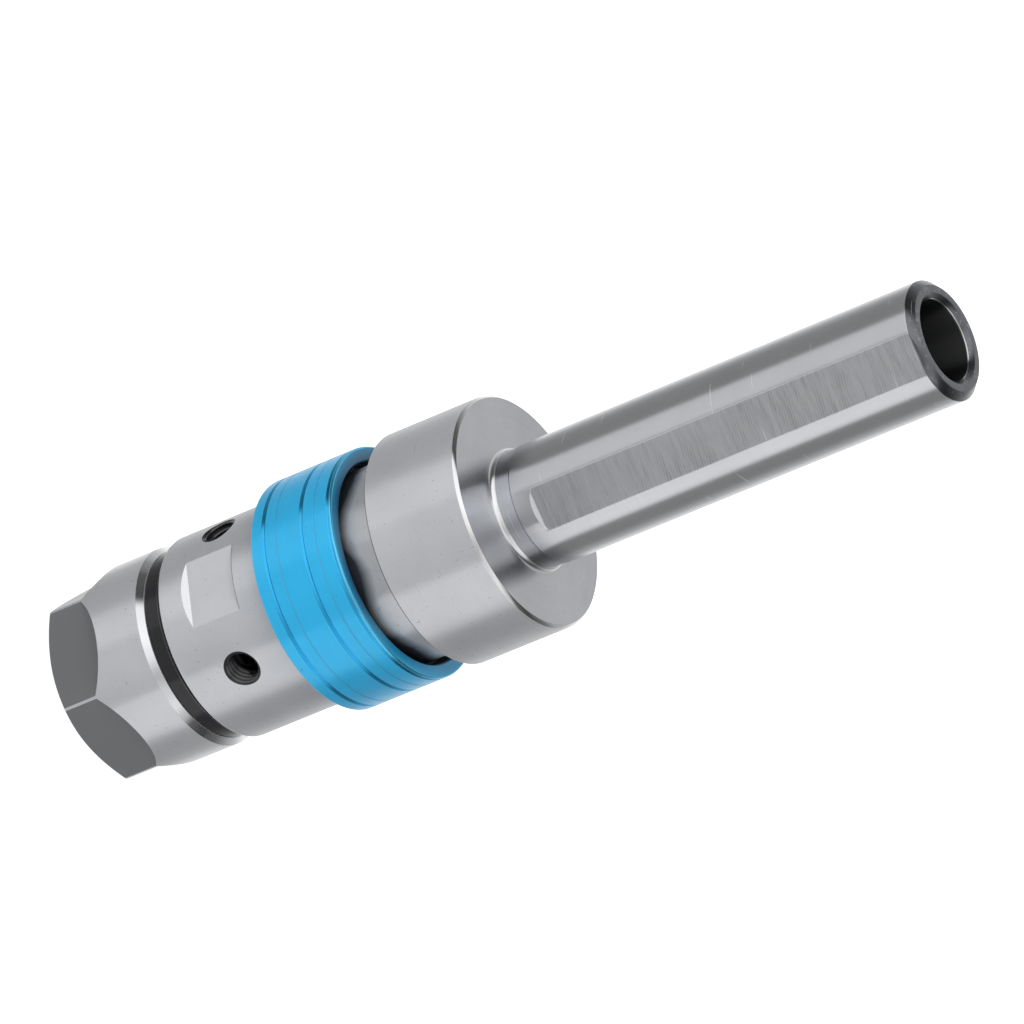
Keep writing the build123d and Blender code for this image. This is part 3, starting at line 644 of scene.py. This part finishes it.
ring = Finish("blue anodised aluminium", RING_BLUE, 0.28, marks=0.015, bump=0.002, scratches=0.0, metallic=0.3)


def ring_band(middle, width):
    return ring.within(ring.z, ring_z + middle - width / 2, ring_z + middle + width / 2)


lit_bead = ring.within(ring.z, ring_top_z - RIM_ROUND, ring_top_z - 0.02)
bright_cut = ring.either(*[ring_band(middle, width + 0.05) for middle, width in WIDE_GROOVES], lit_bead)
scribed = ring.either(*[ring_band(middle, SCRIBE_WIDTH) for middle in SCRIBED_LINES])
on_top = ring.both(
    ring.fade(ring.z, ring_top_z - 0.06, ring_top_z - 0.03),
    ring.fade(ring.radius, ring_r - 0.42, ring_r - 0.36, 1.0, 0.0),
)
top_shade = ring.both(
    on_top,
    ring.fade(ring.radius, lip_edge_r, ring_r - 0.5, 0.85, 0.6),
    ring.fade(ring.y, 4, 14, 1.0, 0.25),
)
shaded_inner_wall = ring.fade(ring.radius, lip_edge_r - 0.25, lip_edge_r, 1.0, 0.0)
ring.paint(bright_cut, linear(54, 194, 255), 0.8)
ring.paint(scribed, linear(84, 150, 195), 0.6)
# Painted highlight on the narrow bead at the ring's upper edge.
ring.paint(lit_bead, linear(116, 220, 255), 0.7)
ring.paint(top_shade, linear(26, 52, 80))
# Painted shade on the lip's inner wall.
ring.paint(shaded_inner_wall, linear(10, 44, 70), 0.85)
ring.gloss(bright_cut, -0.16)
ring.metal(bright_cut, 0.3, 0.9)
ring.coat(0.4, 0.2)
cover_ring.data.materials.append(ring.material)

# Chuck body, turned and ground steel, its neck painted dark. The collet's taper is bored in its nose, the
# tap's square sits between four set screws behind it, and two spanner flats are milled across it.
BODY_R = 17.0
BODY_EDGE_ROUND = 0.6
BODY_THREAD_START = 0.5     # above the ring's nose face
BODY_NECK_R = 15.8
BODY_NECK_LEN = 3.2
NECK_RELIEF_DEEP = 0.35
NECK_RELIEF_LEN = 0.9
NUT_GAP = 0.3
NUT_THREAD_R = 12.5
THREAD_CHAMFER = 0.8
THREAD_END_LEN = 2
THREAD_END_DEEP = 0.95
TAP_BORE_R = 7.1
TAP_BORE_TOP = 8.55         # above the set screws
STOP_R = 4.05
COLLET_SEAT_R = 10.52
COLLET_NOSE_LEN = 4.65      # from the collet's face to its long taper
TAPER = tan(radians(8))
SCREW_COUNT = 4
SCREW_Z = 33.95
SCREW_R = 3.05
SCREW_PITCH = 1.0
RIDGE_DEEP = 0.5
HOLE_THREAD_START = 8.5     # from the chuck's axis
HOLE_THREAD_END = 16.5
HOLE_COUNTERSINK = 0.55
BODY_CLOCK = 17.3           # degrees, from the shank's flat to the first set screw
FLAT_ANGLE = -50.0          # from that screw to a spanner flat
FLAT_PLACE = 4.6
FLAT_LEN = 10
mouth_z = box_z("chuck_body")[0]
neck_z = box_z("clamp_nut")[1] + NUT_GAP
body_z = neck_z + BODY_NECK_LEN
flat_low_z = body_z + FLAT_PLACE
flat_high_z = flat_low_z + FLAT_LEN
taper_z = box_z("collet")[0] + COLLET_NOSE_LEN
tap_bore_top_z = SCREW_Z + TAP_BORE_TOP
chuck_body = turn(
    "chuck_body_steel",
    [
        (COLLET_SEAT_R - (mouth_z - taper_z) * TAPER, mouth_z),
        (NUT_THREAD_R - THREAD_CHAMFER, mouth_z),
        (NUT_THREAD_R, mouth_z + THREAD_CHAMFER),
        (NUT_THREAD_R, neck_z - THREAD_END_LEN),
        (NUT_THREAD_R - THREAD_END_DEEP, neck_z - THREAD_END_LEN),
        (NUT_THREAD_R - THREAD_END_DEEP, neck_z),
        (BODY_NECK_R, neck_z),
        (BODY_NECK_R, body_z - NECK_RELIEF_LEN),
        (BODY_NECK_R - NECK_RELIEF_DEEP, body_z - NECK_RELIEF_LEN),
        (BODY_NECK_R - NECK_RELIEF_DEEP, body_z),
        *arc((BODY_R - BODY_EDGE_ROUND, body_z + BODY_EDGE_ROUND), BODY_EDGE_ROUND, -90, 0),
        (BODY_R, ring_z + BODY_THREAD_START),
        (BODY_THREAD_R, ring_z + BODY_THREAD_START),
        (BODY_THREAD_R, body_top_z),
        (STOP_R, body_top_z),
        (STOP_R, tap_bore_top_z),
        (TAP_BORE_R, tap_bore_top_z),
        (TAP_BORE_R, taper_z + (COLLET_SEAT_R - TAP_BORE_R) / TAPER),
    ],
)
slot_low_z = body_top_z - SLOT_DEEP
body_tools = [block((-SLOT_HALF, -SLOT_REACH, slot_low_z), (SLOT_HALF, SLOT_REACH, body_top_z + 1))]
for turned_by in (0, 180):
    tool = block((BODY_R - 1, -SLOT_REACH, flat_low_z + 1), (BODY_R + 1, SLOT_REACH, flat_high_z))
    shift(tool, lambda place: place.x > BODY_R and place.z < SCREW_Z, (0, 0, -2))
    tool.data.transform(Matrix.Rotation(radians(BODY_CLOCK + FLAT_ANGLE + turned_by), 4, "Z"))
    body_tools.append(tool)


def ridges(radius, low, high, deep):
    """Outline of thread ridges between two heights, from root to root."""
    points = [(radius - deep, low)]
    for index in range(round((high - low) / SCREW_PITCH)):
        points.append((radius, low + (index + 0.5) * SCREW_PITCH))
        points.append((radius - deep, low + (index + 1) * SCREW_PITCH))
    return points


def lay_outward(piece, angle, z):
    """Turns a piece made along +Z to point outward at the angle, at the height z."""
    outward = Matrix.Rotation(radians(angle), 4, "Z") @ Matrix.Rotation(radians(90), 4, "Y")
    piece.data.transform(Matrix.Translation((0, 0, sized(z))) @ outward)


for index in range(SCREW_COUNT):
    tool = turn(
        "threaded_hole_tool",
        [
            (SCREW_R - RIDGE_DEEP, 0),
            *ridges(SCREW_R, HOLE_THREAD_START, HOLE_THREAD_END, RIDGE_DEEP),
            (SCREW_R + HOLE_COUNTERSINK, BODY_R + HOLE_COUNTERSINK),
        ],
        closed=False,
        sides=64,
    )
    lay_outward(tool, BODY_CLOCK + index * 360 / SCREW_COUNT, SCREW_Z)
    body_tools.append(tool)
cut(chuck_body, body_tools)
break_edges(chuck_body, 0.05)
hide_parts("chuck_body")
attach(chuck_body, "chuck")
body = Finish("satin steel", STEEL_GREY, 0.30, marks=0.04, bump=0.01, scratches=0.03, metallic=SATIN)
on_body_neck = body.within(body.z, mouth_z + 2, body_z - 0.05)
relief_edge_highlight = body.within(body.z, body_z - 0.96, body_z - 0.84)
clocked_x, clocked_y = body.axes(body.mapped(body.place, turned=(0, 0, radians(-BODY_CLOCK))))[:2]
aside = body.calculate(
    "MINIMUM", body.calculate("ABSOLUTE", clocked_x), body.calculate("ABSOLUTE", clocked_y)
)
hole_radius = body.distance(aside, body.calculate("SUBTRACT", body.z, sized(SCREW_Z)))
shaded_holes = body.fade(hole_radius, SCREW_R + 0.02, SCREW_R + 0.06, 1.0, 0.0)
lit_crests = body.both(
    body.fade(hole_radius, SCREW_R - 0.4, SCREW_R - 0.28, 1.0, 0.0),
    body.fade(hole_radius, SCREW_R - 0.7, SCREW_R - 0.6),
)
lit_run_out = body.both(
    body.within(body.z, flat_low_z - 0.02, flat_low_z + 0.97),
    body.fade(body.radius, BODY_R - 0.05, BODY_R - 0.02, 1.0, 0.0),
)
flat_turn = radians(BODY_CLOCK + FLAT_ANGLE)
across_flat = body.calculate("MULTIPLY", body.y, sin(flat_turn))
across_flat = body.calculate("MULTIPLY_ADD", body.x, cos(flat_turn), across_flat)
shaded_flat_end = body.both(
    body.within(body.z, flat_high_z - 0.6, flat_high_z + 0.14, 0.01),
    body.fade(body.calculate("ABSOLUTE", across_flat), BODY_R - 0.98, BODY_R - 0.95),
)
# Painted shade inside the set screw holes; the neck is painted dark as well.
body.paint(body.either(on_body_neck, shaded_holes), linear(58, 58, 60))
# Painted highlight on the thread crests inside the holes.
body.paint(body.both(lit_crests, shaded_holes), linear(96, 96, 98))
# Painted highlight along the edge of the neck's relief groove.
body.paint(relief_edge_highlight, linear(128, 128, 131))
# Painted highlight on the run-out of the spanner flats.
body.paint(lit_run_out, linear(252, 252, 254))
# Painted shade along the far end of the spanner flats.
body.paint(shaded_flat_end, linear(84, 84, 86), 0.6)
body.gloss(shaded_holes, -0.12)
body.gloss(on_body_neck, -0.16)
body.gloss(lit_run_out, -0.16)
body.metal(lit_run_out)
chuck_body.data.materials.append(body.material)

# Four set screws with a hexagon socket and a dog point, blackened steel. They stand round the chuck body
# and hold the tap's square between their points.
POINT_Z = 5.0               # from the chuck's axis, as all heights of the screws
DOG_R = 1.9
DOG_CHAMFER = 0.2
SCREW_LOW = 8.5
SCREW_LEAD = 0.5
SCREW_TOP = 13.0
CREST_R = 2.95
CREST_DEEP = 0.45
SOCKET_HALF = 1.5           # half the socket's width over its flats
SOCKET_DEEP = 2
blackened = Finish(
    "black oxide steel", linear(52, 52, 55), 0.34, marks=0.1, bump=0.05, scratches=0.1, across=9000.0
)
for index in range(SCREW_COUNT):
    node = f"set_screw_{index + 1}"
    screw = turn(
        f"{node}_thread",
        [
            (DOG_R - DOG_CHAMFER, POINT_Z),
            (DOG_R, POINT_Z + DOG_CHAMFER),
            (DOG_R, SCREW_LOW),
            (CREST_R - CREST_DEEP, SCREW_LOW),
            *ridges(CREST_R, SCREW_LOW + SCREW_LEAD, SCREW_TOP, CREST_DEEP),
        ],
        closed=False,
        sides=64,
    )
    deselect()
    bpy.ops.mesh.primitive_cylinder_add(
        vertices=6,
        radius=sized(SOCKET_HALF / cos(pi / 6)),
        depth=sized(2 * SOCKET_DEEP),
        location=(0, 0, sized(SCREW_TOP)),
    )
    bpy.ops.object.transform_apply()
    cut(screw, [bpy.context.object])
    lay_outward(screw, BODY_CLOCK + index * 360 / SCREW_COUNT, SCREW_Z)
    break_edges(screw, 0.03)
    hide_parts(node)
    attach(screw, node)
    screw.data.materials.append(blackened.material)

# Clamp nut, turned and hardened, with six flats milled from the nose by a round cutter. Its round rear
# end is turned bright and carries a painted highlight, the flats are blackened.
NUT_R = 16.8
NUT_FACE_R = 14.2
NUT_NOSE_CHAMFER = 1.5
NUT_REAR_CHAMFER = 1
NUT_MOUTH_R = 10.2
NUT_WEB = 1.6               # from the nut's face to the room of the thrust ring
NUT_ROOM_R = 11.6
NUT_BORE_R = NUT_THREAD_R + CLEAR
NUT_BORE_START = 5.55
NUT_FLAT_R = 14.65
NUT_CLOCK = 31.3            # degrees, from the shank's flat to the first flat of the nut
NUT_FLATS = 6
CUTTER_R = 12.0
CUTTER_Z = -1.1
CUTTER_THICK = 4
nut_z, nut_top_z = box_z("clamp_nut")
clamp_nut = turn(
    "clamp_nut_steel",
    [
        (NUT_MOUTH_R, nut_z),
        (NUT_FACE_R, nut_z),
        (NUT_R, nut_z + NUT_NOSE_CHAMFER),
        (NUT_R, nut_top_z - NUT_REAR_CHAMFER),
        (NUT_R - NUT_REAR_CHAMFER, nut_top_z),
        (NUT_BORE_R + THREAD_CHAMFER, nut_top_z),
        (NUT_BORE_R, nut_top_z - THREAD_CHAMFER),
        (NUT_BORE_R, nut_z + NUT_BORE_START),
        (NUT_ROOM_R, nut_z + NUT_BORE_START),
        (NUT_ROOM_R, nut_z + NUT_WEB),
        (NUT_MOUTH_R, nut_z + NUT_WEB),
    ],
)
nut_tools = []
for index in range(NUT_FLATS):
    deselect()
    bpy.ops.mesh.primitive_cylinder_add(
        vertices=192,
        radius=sized(CUTTER_R),
        depth=sized(CUTTER_THICK),
        location=(0, 0, sized(NUT_FLAT_R + CUTTER_THICK / 2)),
    )
    bpy.ops.object.transform_apply()
    lay_outward(bpy.context.object, NUT_CLOCK + index * 360 / NUT_FLATS, CUTTER_Z)
    nut_tools.append(bpy.context.object)
cut(clamp_nut, nut_tools)
break_edges(clamp_nut, 0.12)
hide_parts("clamp_nut")
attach(clamp_nut, "nut")
nut = Finish("turned nut steel", STEEL_GREY, 0.28, marks=0.02, bump=0.003, scratches=0.0, metallic=SATIN)
nut_turn = nut.calculate("SUBTRACT", nut.calculate("ARCTAN2", nut.y, nut.x), radians(NUT_CLOCK))
nut_turn = nut.calculate("WRAP", nut_turn, pi / NUT_FLATS, -pi / NUT_FLATS)
flat_distance = nut.calculate("MULTIPLY", nut.radius, nut.calculate("COSINE", nut_turn))
on_flats = nut.both(
    nut.within(flat_distance, NUT_FLAT_R - 0.1, NUT_FLAT_R + 0.05),
    nut.within(nut.z, nut_z + 0.05, CUTTER_Z + CUTTER_R + 0.4),
    nut.within(nut.radius, NUT_FLAT_R - 0.15, NUT_R - 0.015, 0.01),
)
lit_rear_chamfer = nut.within(nut.z, nut_top_z - 0.97, nut_top_z - 0.03)
nut.paint(on_flats, linear(118, 119, 122))
# Polished rear chamfer with a painted highlight.
nut.paint(lit_rear_chamfer, linear(248, 249, 252))
nut.gloss(on_flats, 0.2)
nut.gloss(lit_rear_chamfer, -0.2)
nut.metal(lit_rear_chamfer)
nut.coat(0.7, 0.15)
clamp_nut.data.materials.append(nut.material)

# Two springs of round wire with ground ends, coiled round the pull rod above and below the bush.
SPRING_WIRE_R = 0.75
SPRING_R = 5.1
SPRING_TURNS = 7
SPRING_SIDES = 48
spring_steel = Finish("spring steel", linear(150, 152, 156), 0.3, marks=0.05, bump=0.02, scratches=0.05)
SPRING_ENDS = (("compression_spring", "spindle", "shank"), ("return_spring", "shank", "spindle"))
for node, first, second in SPRING_ENDS:
    foot_z, top_z = box_z(node)
    deselect()
    bpy.ops.mesh.primitive_circle_add(
        vertices=20,
        radius=sized(SPRING_WIRE_R),
        location=(sized(SPRING_R), 0, sized(foot_z + SPRING_WIRE_R / 2)),
        rotation=(pi / 2, 0, 0),
    )
    bpy.ops.object.transform_apply()
    spring = name_piece(f"{node}_wire")
    coil = spring.modifiers.new("coil", "SCREW")
    coil.screw_offset = sized((top_z - foot_z - SPRING_WIRE_R) / SPRING_TURNS)
    coil.iterations = SPRING_TURNS
    coil.steps = SPRING_SIDES
    coil.render_steps = SPRING_SIDES
    bpy.ops.object.modifier_apply(modifier=coil.name)
    bpy.ops.object.mode_set(mode="EDIT")
    for height, keep_above in ((foot_z, True), (top_z, False)):
        bpy.ops.mesh.select_all(action="SELECT")
        bpy.ops.mesh.bisect(
            plane_co=(0, 0, sized(height)),
            plane_no=(0, 0, 1),
            use_fill=True,
            clear_inner=keep_above,
            clear_outer=not keep_above,
        )
    bpy.ops.mesh.select_all(action="SELECT")
    bpy.ops.mesh.remove_doubles(threshold=sized(0.001))
    bpy.ops.mesh.fill_holes(sides=40)
    bpy.ops.mesh.normals_make_consistent(inside=False)
    bpy.ops.object.mode_set(mode="OBJECT")
    bpy.ops.object.shade_smooth_by_angle(angle=radians(40))
    spring.data.materials.append(spring_steel.material)
    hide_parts(node)
    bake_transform(spring)

# The plain inner pieces keep their CAD form: ground collet, rings, drive disc and keys, blackened rod,
# nut, seat, bush, washer and stop screw, and the rubber seal in the head's nose.
collet_steel = Finish("collet steel", linear(206, 208, 211), 0.24, marks=0.08, bump=0.04, scratches=0.08)
rubber = Finish("seal rubber", linear(38, 38, 40), 0.62, marks=0.05, bump=0.05, scratches=0.05, metallic=0.0)
plain_finishes = {
    "collet": collet_steel,
    "thrust_ring": collet_steel,
    "nut_snap_ring": spring_steel,
    "bush_spring_ring": spring_steel,
    "drive_disc": collet_steel,
    "drive_keys": collet_steel,
    "pull_rod": blackened,
    "rod_nut": blackened,
    "spring_seat": blackened,
    "length_stop_screw": blackened,
    "spring_bush": blackened,
    "thrust_washer": blackened,
    "wiper_seal": rubber,
}
for node, finish in plain_finishes.items():
    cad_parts[node].data.materials.clear()
    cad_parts[node].data.materials.append(finish.material)
shown = [node for node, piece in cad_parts.items() if not piece.hide_render]
bare = [node for node in shown if node not in plain_finishes]
if bare:
    raise RuntimeError(f"no finish for {bare}")

# Pale floor under the piece. To the camera it glows as white as the ground of the photograph, the metal
# doesn't mirror it, and from below it is clear.
deselect()
bpy.ops.mesh.primitive_plane_add(size=8, location=(0, 0, 0))
floor = name_piece("floor")
floor.location.z = sized(-0.2)
floor.visible_glossy = False
floor_paint = bpy.data.materials.new("floor paint")
floor_paint.use_nodes = True
floor_nodes = Nodes(floor_paint.node_tree)
floor_shader = floor_nodes.tree.nodes["Principled BSDF"]
floor_shader.inputs["Base Color"].default_value = (0.9, 0.9, 0.9, 1)
floor_shader.inputs["Roughness"].default_value = 0.8
floor_shader.inputs["Emission Color"].default_value = (0.75, 0.75, 0.75, 1)
floor_path = floor_nodes.tree.nodes.new("ShaderNodeLightPath")
floor_nodes.link(floor_path.outputs["Is Camera Ray"], floor_shader.inputs["Emission Strength"])
floor_side = floor_nodes.tree.nodes.new("ShaderNodeNewGeometry")
from_above = floor_nodes.calculate("SUBTRACT", 1.0, floor_side.outputs["Backfacing"])
floor_nodes.link(from_above, floor_shader.inputs["Alpha"])
floor.data.materials.append(floor_paint)

# Soft studio light: broad light boxes stand round the piece as bands of the world, which the ground metal
# mirrors, with one more box overhead. The camera sees plain white behind it all.
VIEW_TURN = -3.3            # degrees, from the shank's flat to the camera
world = bpy.data.worlds.new("studio")
bpy.context.scene.world = world
world.use_nodes = True
sky = Nodes(world.node_tree)
sky_place = sky.tree.nodes.new("ShaderNodeTexCoord")
sky_turned = sky.mapped(sky_place.outputs["Generated"], turned=(0, 0, radians(-VIEW_TURN)))
sky_x, sky_y, sky_z = sky.axes(sky_turned)
around = sky.calculate("MULTIPLY_ADD", sky.calculate("ARCTAN2", sky_y, sky_x), 1 / (2 * pi), 0.5)


def light_bands(stops):
    """Ramp of light round the piece, from stops of (degrees from the camera, strength)."""
    ramp = sky.tree.nodes.new("ShaderNodeValToRGB")
    ramp.color_ramp.interpolation = "EASE"
    elements = ramp.color_ramp.elements
    while len(elements) > 1:
        elements.remove(elements[-1])
    for index, (angle, strength) in enumerate(stops):
        share = angle / 360 + 0.5
        stop = elements[0] if index == 0 else elements.new(share)
        stop.position = share
        stop.color = (strength, strength, strength, 1)
    sky.link(around, ramp.inputs[0])
    return ramp.outputs[0]


low_bands = light_bands(
    [
        (-180, 1.0),
        (-158, 0.95),
        (-136, 0.42),
        (-120, 0.27),
        (-81, 0.24),
        (-73, 0.64),
        (-42, 0.64),
        (-36, 0.39),
        (24, 0.36),
        (30, 0.84),
        (76, 0.9),
        (84, 0.26),
        (112, 0.25),
        (128, 0.42),
        (156, 0.9),
        (180, 1.0),
    ]
)
high_bands = light_bands(
    [
        (-180, 0.6),
        (-142, 0.48),
        (-124, 0.2),
        (-112, 0.07),
        (-90, 0.05),
        (-78, 0.9),
        (-40, 0.98),
        (-20, 0.85),
        (20, 0.45),
        (45, 0.62),
        (66, 0.75),
        (80, 0.5),
        (92, 0.08),
        (106, 0.04),
        (118, 0.1),
        (140, 0.35),
        (180, 0.6),
    ]
)
overhead = sky.spread(sky_z, 0.93, 0.99)
below = sky.spread(sky_z, -0.84, -0.7, 1.0, 0.0)
sky_light = sky.blend(sky.spread(sky_z, -0.1, 0.25), low_bands, high_bands)
sky_light = sky.blend(overhead, sky_light, (0.9, 0.9, 0.9, 1))
sky_light = sky.blend(below, sky_light, (0.95, 0.95, 0.95, 1))
sky_path = sky.tree.nodes.new("ShaderNodeLightPath")
sky_seen = sky.blend(sky_path.outputs["Is Camera Ray"], sky_light, (1, 1, 1, 1))
sky.link(sky_seen, sky.tree.nodes["Background"].inputs["Color"])

LIGHT_PLACE = Vector((0.5, -0.3, 1.1))
LIGHT_AIM = Vector((0, 0, 0.08))
bpy.ops.object.light_add(type="AREA", location=LIGHT_PLACE)
key_light = bpy.context.object
key_light.data.energy = 9
key_light.data.size = 0.9
key_light.rotation_euler = (LIGHT_AIM - LIGHT_PLACE).to_track_quat("-Z", "Y").to_euler()
key_light.visible_glossy = False

# Camera at the photograph's angle: it stands high in front of the shank's flat, with a long lens, and is
# rolled so that the chuck's axis lies across the picture.
VIEW_AZIMUTH = 86.7224
VIEW_ELEVATION = 28.69
VIEW_ROLL = 67.652
VIEW_DISTANCE = 2.20073
VIEW_TARGET = Vector((0, -0.000754, 0.08102))
SENSOR_WIDTH = 36
LENS = 491.52
azimuth, elevation, roll = radians(VIEW_AZIMUTH), radians(VIEW_ELEVATION), radians(VIEW_ROLL)
back = Vector((sin(azimuth) * cos(elevation), -cos(azimuth) * cos(elevation), sin(elevation)))
level = Vector((cos(azimuth), sin(azimuth), 0))
right = level * cos(roll) + back.cross(level) * sin(roll)
up = back.cross(right)
camera_data = bpy.data.cameras.new("camera")
camera = bpy.data.objects.new("camera", camera_data)
bpy.context.scene.collection.objects.link(camera)
turned = Matrix((right, up, back)).transposed().to_4x4()
camera.matrix_world = Matrix.Translation(VIEW_TARGET + back * VIEW_DISTANCE) @ turned
camera_data.sensor_width = SENSOR_WIDTH
camera_data.lens = LENS
camera_data.clip_end = 20
bpy.context.scene.camera = camera
bpy.context.scene.view_settings.view_transform = "Standard"
